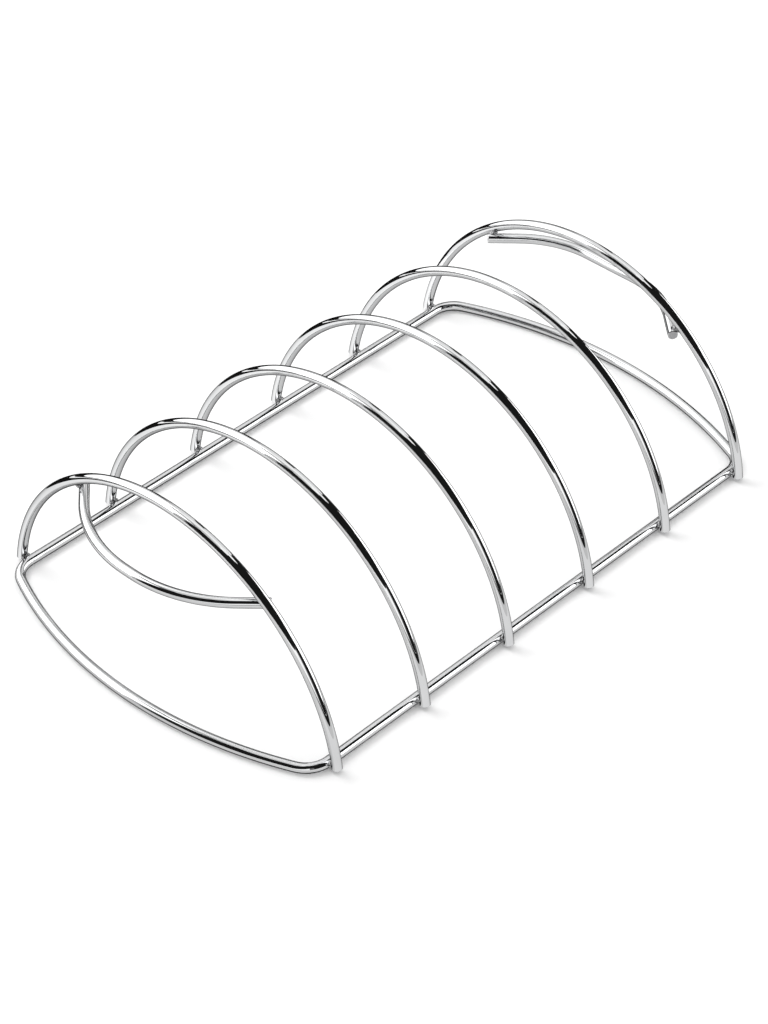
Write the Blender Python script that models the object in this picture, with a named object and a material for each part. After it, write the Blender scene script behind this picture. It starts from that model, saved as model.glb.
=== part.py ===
"""A wire rack: six half-round hoops and two finger grips, welded to one bowed base loop.

Run it with blender --background --python part.py, or from Blender's text editor.

Frame: metres, +Z up. The origin is on the resting surface, under the middle of the rack. X runs
along the two rails and Y across them. "Near" is the -X end and "far" the +X end; "left" is the +Y
side and "right" the -Y side. Everything is one rigid frame: nothing on it moves.
"""

import math

import bpy
from mathutils import Vector

# Wire and joints
WIRE = 0.00325                # diameter of every wire
JOINT_GAP = 0.0003            # clearance between two wires that a weld holds together
AXIS_GAP = WIRE + JOINT_GAP   # so this far between their axes

# Base loop: two straight rails, and two ends that bow outwards
RAIL_Z = WIRE / 2             # height of the loop's axis: the rack rests on the loop
RAIL_Y = 0.0639               # from the middle to each rail's axis
BOW_TIP_X = 0.1130            # from the middle to the tip of each bowed end
BOW_RADIUS = 0.1445
CORNER_RADIUS = 0.0090
BOW_STEPS = 18
CORNER_STEPS = 5
BASE_SIDES = 16               # sides of the loop's section, one of them flat on the surface

# Hoops: arcs across the rails, with their legs on the outside of them, cut just below the joint
HOOP_COUNT = 6
HOOP_PITCH = 0.0370
HOOP_CENTRE_Z = RAIL_Z - 0.0102
HOOP_RADIUS = math.hypot(RAIL_Y, RAIL_Z - HOOP_CENTRE_Z) + AXIS_GAP
HOOP_STEPS = 32
FOOT_DROP = 0.0004            # from the rails' axis down to the middle of each leg's cut end

# Finger grips: level bows on the end hoops, bent a little flatter at the far end
GRIP_LEG_ANGLE = math.radians(43)    # between a grip's legs and the hoop's plane
GRIP_TAIL = 0.0016                   # wire past the joint, to the cut end
GRIP_BEND_STEPS = 7
GRIP_LEG_STEPS = 3
GRIPS = {
    "near": {"end": -1, "reach": 0.0156, "flat": 0.0015, "bend_radius": 0.0446},
    "far": {"end": 1, "reach": 0.0129, "flat": 0.0095, "bend_radius": 0.0320},
}

# Weld collars: the metal pressed out round each joint, open on the side where a wire is cut off
COLLAR_WIRE = 0.00050         # thickness of the squeezed-out ring
COLLAR_REACH = 0.00170        # from each wire's axis to the ring, where it lies beside that wire
COLLAR_LIFT = 0.00040         # how far the ring climbs round each wire
COLLAR_MOUTH = math.radians(100)
COLLAR_STEPS = 12

PLATED = {"colour": (0.86, 0.87, 0.88, 1.0), "roughness": 0.06}
WELD = {"colour": (0.46, 0.45, 0.44, 1.0), "roughness": 0.30}


def clear_scene():
    """Remove whatever objects the scene starts with."""
    for obj in list(bpy.data.objects):
        bpy.data.objects.remove(obj)


def metal(name, colour, roughness):
    """A metallic Principled material."""
    material = bpy.data.materials.new(name)
    material.use_nodes = True
    shader = material.node_tree.nodes["Principled BSDF"]
    shader.inputs["Base Color"].default_value = colour
    shader.inputs["Metallic"].default_value = 1.0
    shader.inputs["Roughness"].default_value = roughness
    return material


def arc(centre, radius, start, stop, steps):
    """Points of an arc in a plane, both ends included, as (across, up) pairs."""
    angles = [start + (stop - start) * step / steps for step in range(steps + 1)]
    return [(centre[0] + radius * math.cos(a), centre[1] + radius * math.sin(a)) for a in angles]


def add_wire(name, points, diameter, finish, parent, closed=False, sides=8, twist="MINIMUM", tilt=0.0):
    """A round wire along the points, cut square at its ends unless it is closed."""
    curve = bpy.data.curves.new(name, "CURVE")
    curve.dimensions = "3D"
    curve.bevel_depth = diameter / 2
    curve.bevel_resolution = sides // 2 - 2
    curve.use_fill_caps = not closed
    curve.twist_mode = twist
    spline = curve.splines.new("POLY")
    spline.points.add(len(points) - 1)
    for target, point in zip(spline.points, points):
        target.co = (*point, 1.0)
        target.tilt = tilt
    spline.use_cyclic_u = closed
    spline.use_smooth = True
    curve.materials.append(metal(name + "_finish", **finish))
    wire = bpy.data.objects.new(name, curve)
    wire.parent = parent
    parent.users_collection[0].objects.link(wire)
    return wire


def base_quarter():
    """The base loop's axis from a rail's end to just before a bow's tip, in the +X +Y quarter."""
    bow_centre_x = BOW_TIP_X - BOW_RADIUS
    corner_y = RAIL_Y - CORNER_RADIUS
    corner_x = bow_centre_x + math.sqrt((BOW_RADIUS - CORNER_RADIUS) ** 2 - corner_y ** 2)
    meet = math.atan2(corner_y, corner_x - bow_centre_x)
    corner = arc((corner_x, corner_y), CORNER_RADIUS, math.pi / 2, meet, CORNER_STEPS)
    bow = arc((bow_centre_x, 0.0), BOW_RADIUS, meet, 0.0, BOW_STEPS // 2)
    return corner + bow[1:-1]


def add_base(parent):
    """The closed base loop, which lies level: both rails and both bowed ends are one wire.

    Its section is turned by half a side, and drawn round the wire's circle, so that a flat side
    touches the surface.
    """
    quarter = base_quarter()
    far_end = quarter + [(BOW_TIP_X, 0.0)] + [(x, -y) for x, y in reversed(quarter)]
    loop = far_end + [(-x, -y) for x, y in far_end]
    points = [(x, y, 0.0) for x, y in loop]
    half_side = math.pi / BASE_SIDES
    diameter = WIRE / math.cos(half_side)
    base = add_wire("base_frame", points, diameter, PLATED, parent,
                    closed=True, sides=BASE_SIDES, twist="Z_UP", tilt=half_side)
    base.location.z = RAIL_Z


def hoop_joint_angle():
    """The angle up from level, seen from a hoop's centre, at which its legs meet the rails."""
    return math.atan2(RAIL_Z - HOOP_CENTRE_Z, RAIL_Y)


def hoop_point(angle):
    """A point of a hoop's axis in its own plane, with the angle measured up from +Y."""
    return Vector((0.0, HOOP_RADIUS * math.cos(angle), HOOP_CENTRE_Z + HOOP_RADIUS * math.sin(angle)))


def hoop_tangent(angle):
    """The direction of a hoop's axis at that angle."""
    return Vector((0.0, -math.sin(angle), math.cos(angle)))


def hoop_points():
    """A hoop's axis: one arc with a point at each joint, and its cut ends a little below them."""
    low = hoop_joint_angle()
    angles = [low + (math.pi - 2 * low) * step / HOOP_STEPS for step in range(HOOP_STEPS + 1)]
    foot = math.asin((RAIL_Z - FOOT_DROP - HOOP_CENTRE_Z) / HOOP_RADIUS)
    return [hoop_point(angle) for angle in [foot] + angles + [math.pi - foot]]


def hoop_x(index):
    """Where a hoop stands along the rails, counted from 0 at the near end."""
    return (index - (HOOP_COUNT - 1) / 2) * HOOP_PITCH


def gap_to_hoop(point):
    """How far a point is from the axis of the hoop in the plane x = 0."""
    radial = math.hypot(point.y, point.z - HOOP_CENTRE_Z) - HOOP_RADIUS
    return math.hypot(point.x, radial)


def grip_leg_start(grip):
    """Where a grip's bend runs out into its straight +Y leg, measured out from the hoop's plane."""
    radius = grip["bend_radius"]
    out = grip["reach"] - radius * (1 - math.cos(GRIP_LEG_ANGLE))
    across = grip["flat"] + radius * math.sin(GRIP_LEG_ANGLE)
    return out, across


def grip_leg_direction():
    """The direction of a grip's +Y leg, going in towards the hoop."""
    return Vector((-math.sin(GRIP_LEG_ANGLE), math.cos(GRIP_LEG_ANGLE), 0.0))


def grip_joint(grip):
    """The point on the +Y leg's axis that touches the hoop, once the grip is seated inside it.

    The leg passes the hoop's plane at a slant, so the height is found by halving: a grip that is
    lifted comes nearer to the hoop.
    """
    out, across = grip_leg_start(grip)
    samples = 400
    span = 2 * out / math.sin(GRIP_LEG_ANGLE)
    lower, upper = 0.030, 0.055
    for _ in range(40):
        height = (lower + upper) / 2
        start = Vector((out, across, height))
        leg = [start + grip_leg_direction() * span * step / samples for step in range(samples + 1)]
        nearest = min(leg, key=gap_to_hoop)
        if gap_to_hoop(nearest) > AXIS_GAP:
            lower = height
        else:
            upper = height
    return nearest


def grip_points(grip, joint):
    """A grip's axis at height 0: a flat middle, two bends and two legs, cut past their joints."""
    radius = grip["bend_radius"]
    bend_centre = (grip["reach"] - radius, grip["flat"])
    bend = arc(bend_centre, radius, 0.0, GRIP_LEG_ANGLE, GRIP_BEND_STEPS)
    tail = Vector((joint.x, joint.y, 0.0)) + grip_leg_direction() * GRIP_TAIL
    leg_start = Vector((*bend[-1], 0.0))
    leg = [leg_start.lerp(tail, step / GRIP_LEG_STEPS) for step in range(1, GRIP_LEG_STEPS + 1)]
    half = [Vector((*point, 0.0)) for point in bend] + leg
    other_half = [Vector((point.x, -point.y, 0.0)) for point in reversed(half)]
    return other_half + half


def add_weld(name, wire_point, wire_direction, hoop_axis_point, hoop_direction, mouth, parent):
    """The collar of metal pressed out where a wire and a hoop cross.

    The collar is a skewed ring round the contact. It climbs round the hoop where it crosses over
    the wire, and round the wire where it crosses over the hoop, and so clears both alike. It is
    open at its mouth, an angle from the wire's direction towards the hoop's.
    """
    across = (hoop_axis_point - wire_point).normalized()
    crossing_sine = wire_direction.cross(hoop_direction).length
    reach = COLLAR_REACH / crossing_sine
    points = []
    for step in range(COLLAR_STEPS + 1):
        turn = mouth + COLLAR_MOUTH / 2 + (2 * math.pi - COLLAR_MOUTH) * step / COLLAR_STEPS
        flat = wire_direction * math.cos(turn) + hoop_direction * math.sin(turn)
        points.append(flat * reach + across * COLLAR_LIFT * math.cos(2 * turn))
    weld = add_wire(name, points, COLLAR_WIRE, WELD, parent, sides=6)
    weld.location = (wire_point + hoop_axis_point) / 2


def add_hoops(parent):
    """The six hoops, and the weld at each of their twelve legs, open towards the leg's cut end."""
    for index in range(HOOP_COUNT):
        hoop = add_wire(f"hoop_{index + 1}", hoop_points(), WIRE, PLATED, parent)
        hoop.location.x = hoop_x(index)
        offset = Vector((hoop_x(index), 0.0, 0.0))
        for side, sign in (("left", 1), ("right", -1)):
            angle = hoop_joint_angle() if sign > 0 else math.pi - hoop_joint_angle()
            rail_point = offset + Vector((0.0, sign * RAIL_Y, RAIL_Z))
            leg_point = offset + hoop_point(angle)
            rail_way = Vector((1.0, 0.0, 0.0))
            foot_way = -sign * hoop_tangent(angle)
            name = f"foot_weld_{index + 1}_{side}"
            add_weld(name, rail_point, rail_way, leg_point, foot_way, math.pi / 2, parent)


def add_grips(parent):
    """The two finger grips, each welded inside an end hoop at both legs, just short of its ends."""
    for name, grip in GRIPS.items():
        end = grip["end"]
        joint = grip_joint(grip)
        hoop_index = 0 if end < 0 else HOOP_COUNT - 1
        hoop_place = Vector((hoop_x(hoop_index), 0.0, 0.0))
        wire = add_wire(f"grip_{name}", grip_points(grip, joint), WIRE, PLATED, parent, twist="Z_UP")
        wire.location = hoop_place + Vector((0.0, 0.0, joint.z))
        wire.rotation_euler.z = 0.0 if end > 0 else math.pi
        angle = math.atan2(joint.z - HOOP_CENTRE_Z, joint.y)
        for side, sign in (("left", 1), ("right", -1)):
            flip = Vector((end, sign, 1.0))
            leg_point = hoop_place + joint * flip
            hoop_contact = hoop_place + hoop_point(angle) * flip
            leg_way = grip_leg_direction() * flip
            hoop_way = hoop_tangent(angle) * flip
            add_weld(f"grip_weld_{name}_{side}", leg_point, leg_way, hoop_contact, hoop_way, 0.0, parent)


def main():
    """Build the rack under one empty."""
    clear_scene()
    collection = bpy.data.collections.new("wire_rack")
    bpy.context.scene.collection.children.link(collection)
    rack = bpy.data.objects.new("rack_origin", None)
    collection.objects.link(rack)
    add_base(rack)
    add_hoops(rack)
    add_grips(rack)


main()
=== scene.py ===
"""The looks of the wire rack: bright plated wires, their welds, and the studio round them.

Everything is in metres, in the CAD frame: the origin is on the surface under the rack's middle, +X
runs along the rails and +Z is up. Each wire is swept again as a smooth tube on the CAD wire's axis,
and each weld is a bead of metal that closes the CAD model's clearance between its two wires.
"""

import math

import bpy
from mathutils import Matrix, Vector, noise


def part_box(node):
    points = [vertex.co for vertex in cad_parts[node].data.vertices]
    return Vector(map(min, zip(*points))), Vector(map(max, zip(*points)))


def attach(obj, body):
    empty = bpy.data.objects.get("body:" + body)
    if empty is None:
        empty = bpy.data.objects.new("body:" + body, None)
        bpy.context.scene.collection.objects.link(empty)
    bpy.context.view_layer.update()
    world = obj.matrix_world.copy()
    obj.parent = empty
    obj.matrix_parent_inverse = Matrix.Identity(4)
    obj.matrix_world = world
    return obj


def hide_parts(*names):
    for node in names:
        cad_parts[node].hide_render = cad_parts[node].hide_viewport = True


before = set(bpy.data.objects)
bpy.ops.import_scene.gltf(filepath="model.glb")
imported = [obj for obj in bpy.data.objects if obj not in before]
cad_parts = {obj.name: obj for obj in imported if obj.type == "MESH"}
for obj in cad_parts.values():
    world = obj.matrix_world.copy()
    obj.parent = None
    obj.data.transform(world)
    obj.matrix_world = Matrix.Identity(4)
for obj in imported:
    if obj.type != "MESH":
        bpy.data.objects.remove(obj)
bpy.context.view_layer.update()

# ---------------------------------------------------------------- sizes read from the frame

BASE_LOW, BASE_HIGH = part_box("base_frame")
HOOP_COUNT = sum(1 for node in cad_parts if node.startswith("hoop_"))

WIRE = BASE_HIGH.z - BASE_LOW.z
RADIUS = WIRE / 2
RAIL_Z = BASE_LOW.z + RADIUS
RAIL_Y = BASE_HIGH.y - RADIUS
BOW_TIP_X = BASE_HIGH.x - RADIUS

# Shapes that a box doesn't tell, as the CAD source has them
JOINT_GAP = 0.0003
AXIS_GAP = WIRE + JOINT_GAP
HOOP_DROP = 0.0102                    # the hoops' centre below the rails' axis
BOW_RADIUS = 0.1445
CORNER_RADIUS = 0.0090
FOOT_DROP = 0.0004                    # the legs' cut ends below the rails' axis
GRIP_LEG_ANGLE = math.radians(43)
GRIP_TAIL = 0.0016
GRIPS = {
    "near": {"end": -1, "reach": 0.0156, "flat": 0.0015, "bend_radius": 0.0446},
    "far": {"end": 1, "reach": 0.0129, "flat": 0.0095, "bend_radius": 0.0320},
}
HOOP_CENTRE_Z = RAIL_Z - HOOP_DROP
HOOP_RADIUS = math.hypot(RAIL_Y, HOOP_DROP) + AXIS_GAP

# The swept tubes
STEP = 0.0010                         # from ring to ring
SIDES = 40
LEG_SAMPLES = 400                     # points tried along a grip's leg to find its joint
CHAMFER = 0.00018                     # the worn edge of a cut end
DULL_REACH = 0.0028                   # how far the heat of a weld has dulled the wire

X_AXIS = Vector((1.0, 0.0, 0.0))
Z_AXIS = Vector((0.0, 0.0, 1.0))


# ---------------------------------------------------------------- axes of the wires


def arc(centre, radius, start, stop):
    """Points of an arc, both ends included, about STEP apart, as (across, up) pairs."""
    steps = max(4, round(abs(stop - start) * radius / STEP))
    angles = [start + (stop - start) * step / steps for step in range(steps + 1)]
    return [(centre[0] + radius * math.cos(a), centre[1] + radius * math.sin(a)) for a in angles]


def line(start, stop):
    """Points of a straight run, about STEP apart, both ends included."""
    start, stop = Vector(start), Vector(stop)
    steps = max(2, round((stop - start).length / STEP))
    return [start.lerp(stop, step / steps) for step in range(steps + 1)]


def base_axis():
    """The closed loop's axis, starting in the middle of the left rail."""
    bow_centre_x = BOW_TIP_X - BOW_RADIUS
    corner_y = RAIL_Y - CORNER_RADIUS
    corner_x = bow_centre_x + math.sqrt((BOW_RADIUS - CORNER_RADIUS) ** 2 - corner_y ** 2)
    meet = math.atan2(corner_y, corner_x - bow_centre_x)
    rail = [tuple(point) for point in line((0.0, RAIL_Y), (corner_x, RAIL_Y))]
    corner = arc((corner_x, corner_y), CORNER_RADIUS, math.pi / 2, meet)
    bow = arc((bow_centre_x, 0.0), BOW_RADIUS, meet, 0.0)
    quarter = rail + corner[1:] + bow[1:]
    half = quarter + [(x, -y) for x, y in reversed(quarter[1:-1])]
    loop = half + [(-x, -y) for x, y in half]
    return [Vector((x, y, RAIL_Z)) for x, y in loop]


def hoop_joint_angle():
    """The angle up from level, seen from a hoop's centre, at which its legs meet the rails."""
    return math.atan2(HOOP_DROP, RAIL_Y)


def hoop_point(angle):
    """A point of a hoop's axis in its own plane, with the angle measured up from +Y."""
    return Vector((0.0, HOOP_RADIUS * math.cos(angle), HOOP_CENTRE_Z + HOOP_RADIUS * math.sin(angle)))


def hoop_tangent(angle):
    """The direction of a hoop's axis at that angle."""
    return Vector((0.0, -math.sin(angle), math.cos(angle)))


def hoop_axis():
    """A hoop's axis in its own plane, from the left foot over to the right one."""
    foot = math.asin((RAIL_Z - FOOT_DROP - HOOP_CENTRE_Z) / HOOP_RADIUS)
    bend = arc((0.0, HOOP_CENTRE_Z), HOOP_RADIUS, foot, math.pi - foot)
    return [Vector((0.0, y, z)) for y, z in bend]


def hoop_x(index):
    """Where a hoop stands along the rails, counted from 0 at the near end."""
    low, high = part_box(f"hoop_{index + 1}")
    return (low.x + high.x) / 2


def grip_hoop(name):
    """Which hoop a grip is welded to, counted from 0 at the near end."""
    return 0 if GRIPS[name]["end"] < 0 else HOOP_COUNT - 1


def grip_leg_direction():
    """The direction of a grip's left leg, going in towards the hoop."""
    return Vector((-math.sin(GRIP_LEG_ANGLE), math.cos(GRIP_LEG_ANGLE), 0.0))


def grip_joint(name):
    """The point of a grip's left leg nearest to the hoop's axis, from the hoop's plane."""
    grip = GRIPS[name]
    low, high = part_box(f"grip_{name}")
    height = (low.z + high.z) / 2
    out = grip["reach"] - grip["bend_radius"] * (1 - math.cos(GRIP_LEG_ANGLE))
    across = grip["flat"] + grip["bend_radius"] * math.sin(GRIP_LEG_ANGLE)
    start = Vector((out, across, height))
    span = 2 * out / math.sin(GRIP_LEG_ANGLE)
    shares = [step / LEG_SAMPLES for step in range(LEG_SAMPLES + 1)]
    return min((start + grip_leg_direction() * span * share for share in shares), key=gap_to_hoop)


def gap_to_hoop(point):
    """How far a point is from the axis of the hoop in the plane x = 0."""
    return math.hypot(point.x, math.hypot(point.y, point.z - HOOP_CENTRE_Z) - HOOP_RADIUS)


def grip_axis(name):
    """A grip's axis measured out from the hoop's plane, from its right cut end to its left one."""
    grip = GRIPS[name]
    joint = grip_joint(name)
    centre = (grip["reach"] - grip["bend_radius"], grip["flat"])
    bend = [Vector((x, y, joint.z)) for x, y in arc(centre, grip["bend_radius"], 0.0, GRIP_LEG_ANGLE)]
    middle = line((grip["reach"], 0.0, joint.z), bend[0])
    leg = line(bend[-1], joint + grip_leg_direction() * GRIP_TAIL)
    half = middle[:-1] + bend + leg[1:]
    other_half = [Vector((p.x, -p.y, p.z)) for p in reversed(half[1:])]
    return other_half + half


# ---------------------------------------------------------------- swept meshes


def tangents(points, closed):
    """Unit directions along a run of points."""
    found = []
    last = len(points) - 1
    for index, point in enumerate(points):
        before = points[index - 1] if index > 0 or closed else point
        after = points[(index + 1) % len(points)] if index < last or closed else point
        found.append((after - before).normalized())
    return found


def rings_of(points, closed):
    """(centre, direction, radius) of each ring of a wire, with a chamfer at a cut end."""
    rings = [(point, way, RADIUS) for point, way in zip(points, tangents(points, closed))]
    if closed:
        return rings
    (start, start_way, _), (stop, stop_way, _) = rings[0], rings[-1]
    middle = [ring for ring in rings
              if (ring[0] - start).length > 2 * CHAMFER and (ring[0] - stop).length > 2 * CHAMFER]
    opening = [(start, start_way, RADIUS - CHAMFER), (start + start_way * CHAMFER, start_way, RADIUS)]
    closing = [(stop - stop_way * CHAMFER, stop_way, RADIUS), (stop, stop_way, RADIUS - CHAMFER)]
    return opening + middle + closing


def ring_points(centre, way, radius, normal):
    """The points of a ring round a wire, counted from the normal of the plane it bends in."""
    side = way.cross(normal).normalized()
    turns = [2 * math.pi * step / SIDES for step in range(SIDES)]
    return [centre + (normal * math.cos(turn) + side * math.sin(turn)) * radius for turn in turns]


def tube_faces(count, closed):
    """The quads round a wire of that many rings, and the two caps of one that has cut ends."""
    faces = []
    for ring in range(count if closed else count - 1):
        here = ring * SIDES
        there = (ring + 1) % count * SIDES
        for turn in range(SIDES):
            after = (turn + 1) % SIDES
            faces.append((here + turn, here + after, there + after, there + turn))
    if not closed:
        faces.append(tuple(reversed(range(SIDES))))
        faces.append(tuple(range((count - 1) * SIDES, count * SIDES)))
    return faces


def tube(name, points, normal, closed=False):
    """A smooth round wire on a flat run of points, with its length and girth in metres as UV."""
    rings = rings_of(points, closed)
    vertices = [vertex for ring in rings for vertex in ring_points(*ring, normal)]
    spans = len(rings) if closed else len(rings) - 1
    mesh = bpy.data.meshes.new(name)
    mesh.from_pydata(vertices, [], tube_faces(len(rings), closed))
    add_length_uv(mesh, rings, spans)
    mark_cuts(mesh, spans)
    mesh.shade_smooth()
    if not closed:
        mesh.set_sharp_from_angle(angle=math.radians(30))
    return mesh


def add_length_uv(mesh, rings, spans):
    """UVs of a wire: metres along it and metres round it, with its caps off to one side."""
    along = [0.0]
    for before, after in zip(rings, rings[1:] + rings[:1]):
        along.append(along[-1] + (after[0] - before[0]).length)
    step = 2 * math.pi * RADIUS / SIDES
    values = []
    for ring in range(spans):
        for turn in range(SIDES):
            low, high = step * turn, step * (turn + 1)
            start, stop = along[ring], along[ring + 1]
            values += [start, low, start, high, stop, high, stop, low]
    for face in list(mesh.polygons)[spans * SIDES:]:
        for vertex in face.vertices:
            turn = 2 * math.pi * (vertex % SIDES) / SIDES
            values += [RADIUS * math.cos(turn) - 2 * WIRE, RADIUS * math.sin(turn)]
    mesh.uv_layers.new(name="length_and_girth").data.foreach_set("uv", values)


def mark_cuts(mesh, spans):
    """A face attribute that is 1 on the caps and 0 on the plated wire."""
    plated = spans * SIDES
    marks = [0.0] * plated + [1.0] * (len(mesh.polygons) - plated)
    mesh.attributes.new("cut_face", "FLOAT", "FACE").data.foreach_set("value", marks)


def mark_heat(mesh, joints):
    """A point attribute that rises to 1 where a weld's heat has dulled the plating."""
    heat = []
    for vertex in mesh.vertices:
        distance = min((vertex.co - joint).length for joint in joints) - RADIUS
        heat.append(max(0.0, min(1.0, 1.0 - distance / DULL_REACH)))
    mesh.attributes.new("weld_heat", "FLOAT", "POINT").data.foreach_set("value", heat)


def show(mesh, material, node):
    """Put a mesh in the scene as the piece that stands for a CAD node."""
    piece = bpy.data.objects.new(mesh.name, mesh)
    mesh.materials.append(material)
    bpy.context.scene.collection.objects.link(piece)
    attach(piece, "root")
    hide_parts(node)


# ---------------------------------------------------------------- the welds

NUGGET_REACH = 0.00130                # from the contact to the rim of the pressed-out metal
NUGGET_BITE = 0.00005                 # how far it sinks into each wire
NUGGET_RINGS = 7                      # rings of points on each of its two faces
NUGGET_TURNS = 72                     # points in a ring
CUT_SIDE_SHARE = 0.30                 # of the reach, lost towards the side where a wire is cut off
FOLLOWED = 0.98                       # of a wire's radius, within which its surface is followed
RIM_STEPS = 12
RIM_BULGE = 0.00022
LUMP_SIZE = 0.00045
LUMP_SHARE = 0.20                     # of the reach
RIM_LUMP_SIZE = 0.6 * LUMP_SIZE
RIM_LUMP_SHARE = 0.9                  # of the rim's bulge


def surface_depth(spot, way):
    """From the contact plane to a wire's surface, over a spot, for a wire along that way."""
    aside = min(spot.cross(way).length, FOLLOWED * RADIUS)
    return JOINT_GAP / 2 + RADIUS - math.sqrt(RADIUS ** 2 - aside ** 2) + NUGGET_BITE


def nugget(name, contact, wire_way, hoop_way, across, cut_way):
    """The metal pressed out of a weld: it fills the crevice between two wires round their contact.

    It stops short on the side where a wire is cut off, and its rim is lumpy.
    """
    side = across.cross(wire_way).normalized()
    vertices = []
    rows = []

    def add_row(make_point):
        rows.append(len(vertices))
        for step in range(NUGGET_TURNS):
            turn = 2 * math.pi * step / NUGGET_TURNS
            vertices.append(make_point(wire_way * math.cos(turn) + side * math.sin(turn)))

    def reach(way):
        lump = noise.noise((contact + way * NUGGET_REACH) / LUMP_SIZE)
        short = CUT_SIDE_SHARE * max(0.0, way.dot(cut_way))
        return NUGGET_REACH * (1 + LUMP_SHARE * lump - short)

    def face_point(way, share, sign):
        spot = way * reach(way) * share
        depth = surface_depth(spot, hoop_way if sign > 0 else wire_way)
        return contact + spot + across * depth * sign

    def rim_point(way, share):
        edge = way * reach(way)
        top = surface_depth(edge, hoop_way)
        bottom = -surface_depth(edge, wire_way)
        height = bottom + (top - bottom) * share
        spot = contact + edge + across * height
        lump = noise.noise(spot / RIM_LUMP_SIZE)
        out = RIM_BULGE * math.sin(math.pi * share) * (1 + RIM_LUMP_SHARE * lump)
        return spot + way * out

    for ring in range(1, NUGGET_RINGS):
        add_row(lambda way: face_point(way, ring / NUGGET_RINGS, -1))
    for step in range(RIM_STEPS + 1):
        add_row(lambda way: rim_point(way, step / RIM_STEPS))
    for ring in range(NUGGET_RINGS - 1, 0, -1):
        add_row(lambda way: face_point(way, ring / NUGGET_RINGS, 1))
    faces = []
    for here, there in zip(rows, rows[1:]):
        for step in range(NUGGET_TURNS):
            after = (step + 1) % NUGGET_TURNS
            faces.append((here + step, here + after, there + after, there + step))
    faces.append(tuple(rows[0] + step for step in reversed(range(NUGGET_TURNS))))
    faces.append(tuple(rows[-1] + step for step in range(NUGGET_TURNS)))
    mesh = bpy.data.meshes.new(name)
    mesh.from_pydata(vertices, [], faces)
    mesh.shade_smooth()
    return mesh


def foot_joints(index):
    """A hoop's two joints with the rails, as (side, rail's axis point, leg's axis point, down)."""
    offset = X_AXIS * hoop_x(index)
    joints = []
    for side, sign in (("left", 1), ("right", -1)):
        angle = hoop_joint_angle() if sign > 0 else math.pi - hoop_joint_angle()
        rail_point = offset + Vector((0.0, sign * RAIL_Y, RAIL_Z))
        joints.append((side, rail_point, offset + hoop_point(angle), -sign * hoop_tangent(angle)))
    return joints


def grip_joints(name):
    """A grip's two joints with its hoop, as (side, grip's point and way, hoop's point and way)."""
    end = GRIPS[name]["end"]
    joint = grip_joint(name)
    place = X_AXIS * hoop_x(grip_hoop(name))
    angle = math.atan2(joint.z - HOOP_CENTRE_Z, joint.y)
    joints = []
    for side, sign in (("left", 1), ("right", -1)):
        flip = Vector((end, sign, 1.0))
        joints.append((side, place + joint * flip, grip_leg_direction() * flip,
                       place + hoop_point(angle) * flip, hoop_tangent(angle) * flip))
    return joints


def build_welds(material):
    """The sixteen welds: twelve at the hoops' feet and four on the grips."""
    for index in range(HOOP_COUNT):
        for side, rail_point, leg_point, down in foot_joints(index):
            node = f"foot_weld_{index + 1}_{side}"
            across = (leg_point - rail_point).normalized()
            contact = (leg_point + rail_point) / 2
            mesh = nugget("fused_" + node, contact, X_AXIS, down, across, down)
            show(mesh, material, node)
    for name in GRIPS:
        for side, grip_point, grip_way, leg_point, hoop_way in grip_joints(name):
            node = f"grip_weld_{name}_{side}"
            across = (leg_point - grip_point).normalized()
            contact = (leg_point + grip_point) / 2
            mesh = nugget("fused_" + node, contact, grip_way, hoop_way, across, grip_way)
            show(mesh, material, node)


# ---------------------------------------------------------------- the wires


def build_wires(material):
    """The base loop, the six hoops and the two grips, each on its CAD wire's axis."""
    feet = [foot_joints(index) for index in range(HOOP_COUNT)]
    bows = {name: grip_joints(name) for name in GRIPS}
    base = tube("plated_base", base_axis(), Z_AXIS, closed=True)
    mark_heat(base, [joint[2] for pair in feet for joint in pair])
    show(base, material, "base_frame")
    for index in range(HOOP_COUNT):
        offset = X_AXIS * hoop_x(index)
        hoop = tube(f"plated_hoop_{index + 1}", [offset + point for point in hoop_axis()], X_AXIS)
        held = [joint[1] for joint in feet[index]]
        for name in GRIPS:
            if index == grip_hoop(name):
                held += [joint[1] for joint in bows[name]]
        mark_heat(hoop, held)
        show(hoop, material, f"hoop_{index + 1}")
    for name, grip in GRIPS.items():
        flip = Vector((grip["end"], 1.0, 1.0))
        place = X_AXIS * hoop_x(grip_hoop(name))
        points = [place + point * flip for point in grip_axis(name)]
        bow = tube(f"plated_grip_{name}", points, Z_AXIS)
        mark_heat(bow, [joint[3] for joint in bows[name]])
        show(bow, material, f"grip_{name}")


# ---------------------------------------------------------------- materials


MIX_SHARE, MIX_FIRST, MIX_SECOND, MIX_RESULT = 0, 6, 7, 2     # a Mix node's sockets for colours


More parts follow.
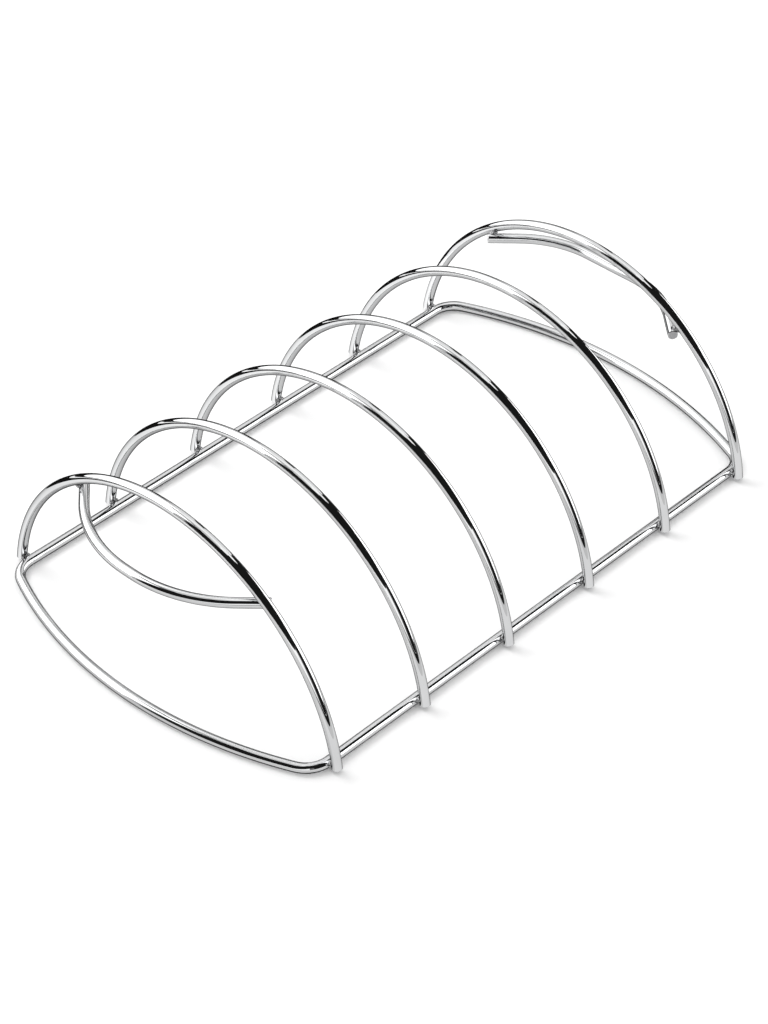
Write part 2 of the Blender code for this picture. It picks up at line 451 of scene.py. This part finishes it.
class Graph:
    """A short way to add shader nodes to a metal and link them."""

    def __init__(self, name):
        self.material = bpy.data.materials.new(name)
        self.material.use_nodes = True
        self.nodes = self.material.node_tree.nodes
        self.links = self.material.node_tree.links
        self.shader = self.nodes["Principled BSDF"]
        self.shader.inputs["Metallic"].default_value = 1.0

    def plug(self, value, socket):
        """Set a socket to a number or a colour, or link another node's output to it."""
        if isinstance(value, bpy.types.NodeSocket):
            self.links.new(value, socket)
        else:
            socket.default_value = value

    def attribute(self, name):
        """A number that the mesh carries under that name."""
        node = self.nodes.new("ShaderNodeAttribute")
        node.attribute_name = name
        return node.outputs["Fac"]

    def place(self):
        """The position on the object, in metres."""
        return self.nodes.new("ShaderNodeTexCoord").outputs["Object"]

    def wire_place(self, per_metre):
        """The position along and round a wire, times so much along it and so much round it."""
        source = self.nodes.new("ShaderNodeUVMap")
        source.uv_map = "length_and_girth"
        node = self.nodes.new("ShaderNodeMapping")
        node.inputs["Scale"].default_value = (*per_metre, 1.0)
        self.links.new(source.outputs["UV"], node.inputs["Vector"])
        return node.outputs["Vector"]

    def noise(self, vector, scale=1.0, detail=3.0):
        """Noise between 0 and 1."""
        node = self.nodes.new("ShaderNodeTexNoise")
        node.inputs["Scale"].default_value = scale
        node.inputs["Detail"].default_value = detail
        self.links.new(vector, node.inputs["Vector"])
        return node.outputs["Fac"]

    def span(self, value, low, high, to_low, to_high):
        """A value between low and high, moved to between to_low and to_high, and held there."""
        node = self.nodes.new("ShaderNodeMapRange")
        for name, setting in (("Value", value), ("From Min", low), ("From Max", high),
                              ("To Min", to_low), ("To Max", to_high)):
            self.plug(setting, node.inputs[name])
        return node.outputs["Result"]

    def math(self, operation, first, second):
        """The sum, product or larger one of two values, as the operation says."""
        node = self.nodes.new("ShaderNodeMath")
        node.operation = operation
        self.plug(first, node.inputs[0])
        self.plug(second, node.inputs[1])
        return node.outputs["Value"]

    def blend(self, share, first, second):
        """One colour turning into another."""
        node = self.nodes.new("ShaderNodeMix")
        node.data_type = "RGBA"
        self.plug(share, node.inputs[MIX_SHARE])
        self.plug(first, node.inputs[MIX_FIRST])
        self.plug(second, node.inputs[MIX_SECOND])
        return node.outputs[MIX_RESULT]

    def bump(self, height, distance, under=None):
        """A normal tilted by a height, on top of another one."""
        node = self.nodes.new("ShaderNodeBump")
        node.inputs["Distance"].default_value = distance
        self.links.new(height, node.inputs["Height"])
        if under is not None:
            self.links.new(under, node.inputs["Normal"])
        return node.outputs["Normal"]

    def finish(self, colour, roughness, normal):
        """Link what the metal shows, and darken it at a grazing angle."""
        self.plug(GRAZING, self.shader.inputs["Specular Tint"])
        self.plug(colour, self.shader.inputs["Base Color"])
        self.plug(roughness, self.shader.inputs["Roughness"])
        self.plug(normal, self.shader.inputs["Normal"])
        return self.material


# Colours. Real chromium stays bright at a grazing angle: black there draws the thin dark lines
# that run along both edges of each wire.
PLATE = (0.92, 0.925, 0.93, 1.0)
PLATE_CLOUDED = (0.86, 0.865, 0.875, 1.0)
PLATE_HEATED = (0.64, 0.645, 0.655, 1.0)
GRAZING = (0.0, 0.0, 0.0, 1.0)
SHEARED = (0.58, 0.58, 0.59, 1.0)
SHEARED_DARK = (0.40, 0.40, 0.41, 1.0)
FUSED = (0.80, 0.80, 0.81, 1.0)
# painted shade: the near-black colour of the weld's creases and pits
FUSED_CREASE_SHADE = (0.05, 0.05, 0.052, 1.0)

# Grain of the plated wire, per metre: along it and round it, or in all directions
DRAWN_LINES = (40.0, 5200.0)
RUBS = (900.0, 2600.0)
SHEAR_LINES = (700.0, 9000.0)
CLOUDS = 90.0
HAZE = 1500.0

# Roughness of the plated wire, and what rubs, a weld's heat and shearing add to it
PLATE_SMOOTHEST, PLATE_ROUGHEST = 0.008, 0.030
RUB_ROUGHNESS = 0.05
HAZE_ROUGHNESS = 0.16
SHEAR_ROUGHNESS = 0.28
DRAWN_DEPTH = 0.0000006
SHEAR_DEPTH = 0.00003

# Grain of the weld metal, per metre
LUMPS = 1400.0
PITS = 5200.0
FUSED_ROUGHNESS, CREASE_ROUGHNESS = 0.08, 0.38
LUMP_DEPTH = 0.00018
PIT_DEPTH = 0.00003


def plated_wire():
    """Bright plating on drawn wire: faint lines along it, a few rubs, and dull sheared ends."""
    graph = Graph("plated_wire")
    cut = graph.attribute("cut_face")
    heat = graph.attribute("weld_heat")
    drawn_lines = graph.noise(graph.wire_place(DRAWN_LINES))
    clouds = graph.noise(graph.place(), CLOUDS, detail=2.0)
    rubs = graph.span(graph.noise(graph.wire_place(RUBS), detail=5.0), 0.66, 0.76, 0.0, 1.0)
    shear_lines = graph.noise(graph.wire_place(SHEAR_LINES))

    haze = graph.math("MULTIPLY", graph.noise(graph.place(), HAZE), heat)
    haze = graph.span(haze, 0.15, 0.60, 0.0, 0.7)
    plate = graph.blend(graph.span(clouds, 0.35, 0.70, 0.0, 1.0), PLATE, PLATE_CLOUDED)
    plate = graph.blend(haze, plate, PLATE_HEATED)
    sheared = graph.blend(graph.span(shear_lines, 0.3, 0.7, 0.0, 1.0), SHEARED, SHEARED_DARK)
    colour = graph.blend(cut, plate, sheared)

    roughness = graph.span(drawn_lines, 0.3, 0.7, PLATE_SMOOTHEST, PLATE_ROUGHEST)
    for mark, added in ((rubs, RUB_ROUGHNESS), (haze, HAZE_ROUGHNESS), (cut, SHEAR_ROUGHNESS)):
        roughness = graph.math("ADD", roughness, graph.math("MULTIPLY", mark, added))

    normal = graph.bump(drawn_lines, DRAWN_DEPTH)
    normal = graph.bump(graph.math("MULTIPLY", shear_lines, cut), SHEAR_DEPTH, normal)
    return graph.finish(colour, roughness, normal)


def weld_metal():
    """Metal pressed out of a weld and plated over: shiny lumps, with painted shade that darkens the
    pitted creases between them.
    """
    graph = Graph("weld_metal")
    place = graph.place()
    lumps = graph.noise(place, LUMPS, detail=4.0)
    pits = graph.span(graph.noise(place, PITS, detail=2.0), 0.55, 0.72, 0.0, 1.0)
    # Painted shade: the weld metal turns near black where its lumps are low and in its pits, as hollows
    # in shade
    painted_crease_shade = graph.math("MAXIMUM", graph.span(lumps, 0.50, 0.36, 0.0, 1.0), pits)
    colour = graph.blend(painted_crease_shade, FUSED, FUSED_CREASE_SHADE)
    roughness = graph.span(painted_crease_shade, 0.0, 1.0, FUSED_ROUGHNESS, CREASE_ROUGHNESS)
    normal = graph.bump(lumps, LUMP_DEPTH)
    normal = graph.bump(pits, -PIT_DEPTH, normal)
    return graph.finish(colour, roughness, normal)


# ---------------------------------------------------------------- camera and studio

CAMERA_AZIMUTH = math.radians(-47.31)            # from -Y, the rack's right side, towards +X
CAMERA_ELEVATION = math.radians(39.30)
CAMERA_ROLL = math.radians(0.86)
CAMERA_DISTANCE = 0.9291
CAMERA_ASIDE = -0.00085                         # off its line to the middle of the rails, to its right
CAMERA_RAISED = 0.00096                         # and upwards in the picture
LENS = 103.86                                   # mm
SENSOR = 36.0                                   # mm

FLOOR_REACH = 6.0
FLOOR_WHITE = (0.93, 0.93, 0.93, 1.0)

KEY_AZIMUTH, KEY_ELEVATION = 100.0, 52.0        # degrees
KEY_DISTANCE = 1.6
KEY_SIZE = 0.8
KEY_POWER = 9.0                                 # watts

SOFTBOXES, FLAGS, STREAKS = 2.6, 2.4, 2.2       # how far off each layer of cards is
CARD_COLUMNS, CARD_ROWS = 24, 12
BLACK = 0.010                                   # the glow of black cloth

# The table as the metal mirrors it is laid out in level cards, which end on these lines
TABLE_REACH = 3.0
NEAR_LINE, LEFT_FAR_LINE, FAR_LINE = -0.16, 0.06, 0.20      # across the rails
RIGHT_LINE, LEFT_LINE, FAR_LEFT_LINE = -0.12, 0.066, 0.11   # along them
STRIP_LINE = -0.068                             # just outside the right rail
WHITE_LINE, BLACK_LINE = 0.16, 0.60             # where the white and the black card on the left end
CARD_LIFT = 0.0004
UPPER_LIFT = 0.0005
SHADE_HALF_WIDTH = 0.0020
SHADE = 0.03


def make_camera():
    """A camera off the rack's near right corner and above it, which looks at about its middle."""
    azimuth, elevation = CAMERA_AZIMUTH, CAMERA_ELEVATION
    back = Vector((math.sin(azimuth) * math.cos(elevation), -math.cos(azimuth) * math.cos(elevation),
                   math.sin(elevation)))
    level_right = (-back).cross(Z_AXIS).normalized()
    level_up = level_right.cross(-back)
    right = level_right * math.cos(CAMERA_ROLL) + level_up * math.sin(CAMERA_ROLL)
    up = level_up * math.cos(CAMERA_ROLL) - level_right * math.sin(CAMERA_ROLL)
    place = Z_AXIS * RAIL_Z + back * CAMERA_DISTANCE + right * CAMERA_ASIDE + up * CAMERA_RAISED
    data = bpy.data.cameras.new("camera")
    data.sensor_width = SENSOR
    data.lens = LENS
    camera = bpy.data.objects.new("camera", data)
    camera.matrix_world = Matrix((
        (right.x, up.x, back.x, place.x),
        (right.y, up.y, back.y, place.y),
        (right.z, up.z, back.z, place.z),
        (0.0, 0.0, 0.0, 1.0)))
    bpy.context.scene.collection.objects.link(camera)
    bpy.context.scene.camera = camera


def make_world():
    """Even white light from all round, and colours shown as they are."""
    world = bpy.data.worlds.new("studio")
    world.use_nodes = True
    background = world.node_tree.nodes["Background"]
    background.inputs["Color"].default_value = (1.0, 1.0, 1.0, 1.0)
    background.inputs["Strength"].default_value = 1.0
    bpy.context.scene.world = world
    bpy.context.scene.view_settings.view_transform = "Standard"


def glowing(name, brightness):
    """A material that gives off an even white light."""
    material = bpy.data.materials.new(name)
    material.use_nodes = True
    nodes = material.node_tree.nodes
    nodes.clear()
    emission = nodes.new("ShaderNodeEmission")
    emission.inputs["Strength"].default_value = brightness
    output = nodes.new("ShaderNodeOutputMaterial")
    material.node_tree.links.new(emission.outputs["Emission"], output.inputs["Surface"])
    return material


def studio_piece(name, vertices, faces, material, only_reflected=True):
    """A floor or a card, which isn't part of the rack. A card shows only in the rack's metal."""
    mesh = bpy.data.meshes.new(name)
    mesh.from_pydata(vertices, [], faces)
    mesh.materials.append(material)
    piece = bpy.data.objects.new(name, mesh)
    bpy.context.scene.collection.objects.link(piece)
    piece.visible_camera = not only_reflected
    piece.visible_diffuse = not only_reflected
    piece.visible_shadow = not only_reflected


def level_corners(along, across, height):
    """The corners of a level rectangle, from its least and greatest X and Y."""
    return [(along[0], across[0], height), (along[1], across[0], height),
            (along[1], across[1], height), (along[0], across[1], height)]


def make_floor():
    """A wide white table."""
    material = bpy.data.materials.new("white_table")
    material.use_nodes = True
    shader = material.node_tree.nodes["Principled BSDF"]
    shader.inputs["Base Color"].default_value = FLOOR_WHITE
    shader.inputs["Roughness"].default_value = 1.0
    shader.inputs["Specular IOR Level"].default_value = 0.0
    corners = level_corners((-FLOOR_REACH, FLOOR_REACH), (-FLOOR_REACH, FLOOR_REACH), 0.0)
    studio_piece("floor", corners, [(0, 1, 2, 3)], material, only_reflected=False)


def make_key_light():
    """A big soft light over the rack's left side, which throws the shadows to its right."""
    data = bpy.data.lights.new("key", "AREA")
    data.shape = "DISK"
    data.size = KEY_SIZE
    data.energy = KEY_POWER
    light = bpy.data.objects.new("key", data)
    place = direction(KEY_AZIMUTH, KEY_ELEVATION) * KEY_DISTANCE
    light.matrix_world = Matrix.Translation(place) @ place.to_track_quat("Z", "Y").to_matrix().to_4x4()
    light.visible_glossy = False
    light.visible_camera = False
    bpy.context.scene.collection.objects.link(light)


def direction(azimuth, elevation):
    """A unit vector, from degrees round from +X towards +Y and degrees up."""
    a, e = math.radians(azimuth), math.radians(elevation)
    return Vector((math.cos(a) * math.cos(e), math.sin(a) * math.cos(e), math.sin(e)))


def card(name, azimuths, elevations, brightness, layer, stop_elevations=None):
    """A curved card or softbox far off, which spans those degrees round and up.

    Its stop_elevations are those at its last azimuth, where they differ.
    """
    stop_elevations = stop_elevations or elevations
    vertices = []
    for column in range(CARD_COLUMNS + 1):
        share = column / CARD_COLUMNS
        low = elevations[0] + (stop_elevations[0] - elevations[0]) * share
        high = elevations[1] + (stop_elevations[1] - elevations[1]) * share
        azimuth = azimuths[0] + (azimuths[1] - azimuths[0]) * share
        for row in range(CARD_ROWS + 1):
            vertices.append(direction(azimuth, low + (high - low) * row / CARD_ROWS) * layer)
    faces = []
    for column in range(CARD_COLUMNS):
        for row in range(CARD_ROWS):
            corner = column * (CARD_ROWS + 1) + row
            beside = corner + CARD_ROWS + 1
            faces.append((corner, corner + 1, beside + 1, beside))
    studio_piece(name, vertices, faces, glowing(name, brightness))


def table_card(name, along, across, brightness, lift=CARD_LIFT):
    """A level card just over the table, which shows only in the rack's metal."""
    studio_piece(name, level_corners(along, across, lift), [(0, 1, 2, 3)], glowing(name, brightness))


def contact_shade():
    """The dark strip of table right under the base loop, as its metal mirrors it."""
    points = base_axis()
    vertices = []
    for point, way in zip(points, tangents(points, True)):
        aside = way.cross(Z_AXIS) * SHADE_HALF_WIDTH
        for place in (point - aside, point + aside):
            vertices.append((place.x, place.y, UPPER_LIFT))
    count = len(points)
    faces = []
    for index in range(count):
        here = 2 * index
        there = 2 * ((index + 1) % count)
        faces.append((here, here + 1, there + 1, there))
    studio_piece("contact_shade", vertices, faces, glowing("contact_shade", SHADE))


def make_softboxes():
    """The bright cards, farthest off: their degrees round, degrees up, and brightness."""
    card("softbox_right", (-64.0, 3.0), (-8.0, 50.0), 1.8, SOFTBOXES)
    card("softbox_left", (66.0, 152.0), (-2.0, 62.0), 1.6, SOFTBOXES)
    card("far_wall", (3.0, 66.0), (-8.0, 62.0), 0.80, SOFTBOXES)
    card("ceiling", (-60.0, 100.0), (62.0, 86.0), 0.95, SOFTBOXES)
    card("ceiling_left", (100.0, 180.0), (64.0, 84.0), 0.60, SOFTBOXES)


def make_flags():
    """The dark cards in front of them: most stand round the camera, from its left over to its right."""
    card("gap_over_softbox", (98.0, 154.0), (57.0, 61.0), BLACK, FLAGS, (55.0, 63.0))
    card("dark_behind_camera", (-180.0, -121.0), (1.0, 70.0), BLACK, FLAGS, (29.0, 88.0))
    card("dark_left_end", (153.0, 180.0), (-10.0, 60.0), BLACK, FLAGS, (-10.0, 66.0))
    card("grey_left_end", (149.0, 153.0), (-6.0, 60.0), 0.40, FLAGS)
    card("black_over_right", (-122.0, -52.0), (30.0, 84.0), BLACK, FLAGS, (38.0, 78.0))
    card("black_tail_high", (-52.0, -24.0), (38.0, 78.0), BLACK, FLAGS, (39.0, 68.0))
    card("black_tail_middle", (-24.0, 0.0), (39.0, 68.0), BLACK, FLAGS, (26.0, 60.0))
    card("black_tail_low", (0.0, 15.0), (24.0, 48.0), BLACK, FLAGS, (-6.0, 10.0))
    card("column_left", (-126.0, -114.0), (0.0, 34.0), 0.14, FLAGS)
    card("column", (-114.0, -72.0), (0.0, 42.0), BLACK, FLAGS)
    card("column_right", (-72.0, -64.0), (0.0, 42.0), 0.06, FLAGS)


def make_streaks():
    """The narrow dark cards, nearest of all, which draw the thin lines in the metal."""
    card("column_foot", (-106.0, -60.0), (0.0, 3.0), BLACK, STREAKS)
    card("far_post_1", (22.0, 27.0), (4.0, 44.0), 0.03, STREAKS)
    card("far_post_2", (39.0, 46.0), (2.0, 34.0), BLACK, STREAKS)
    card("far_post_3", (58.0, 62.0), (4.0, 30.0), 0.10, STREAKS)
    card("far_horizon", (14.0, 90.0), (-2.0, 12.0), BLACK, STREAKS, (-2.0, 6.0))
    card("far_horizon_left", (90.0, 132.0), (-2.0, 6.0), BLACK, STREAKS, (-2.0, 3.0))


def make_table_cards():
    """The table as the metal mirrors it.

    It is grey under the rack, off its near end and on its right, and white in a strip along its left
    rail. Farther off it is black.
    """
    whole = (-TABLE_REACH, TABLE_REACH)
    under = (NEAR_LINE, FAR_LINE)
    left = (-TABLE_REACH, LEFT_FAR_LINE)
    table_card("table_under", under, (RIGHT_LINE, LEFT_LINE), 0.62)
    table_card("table_right", whole, (-TABLE_REACH, RIGHT_LINE), 0.56)
    table_card("table_right_strip", under, (RIGHT_LINE, STRIP_LINE), 0.74, UPPER_LIFT)
    table_card("table_right_edge", (-0.60, 0.45), (-1.50, -0.21), BLACK, UPPER_LIFT)
    table_card("table_near", (-TABLE_REACH, NEAR_LINE), (RIGHT_LINE, LEFT_LINE), 0.68)
    table_card("table_left", left, (LEFT_LINE, WHITE_LINE), 1.00)
    table_card("table_left_edge", left, (WHITE_LINE, BLACK_LINE), BLACK)
    table_card("table_far", (LEFT_FAR_LINE, TABLE_REACH), (FAR_LEFT_LINE, TABLE_REACH), BLACK)
    table_card("table_far_end", (FAR_LINE, TABLE_REACH), (RIGHT_LINE, FAR_LEFT_LINE), BLACK)
    contact_shade()


def make_cards():
    """What the bright metal mirrors. The cards are given one by one, and are no real studio's."""
    make_softboxes()
    make_flags()
    make_streaks()
    make_table_cards()


make_camera()
build_wires(plated_wire())
build_welds(weld_metal())
make_world()
make_floor()
make_key_light()
make_cards()
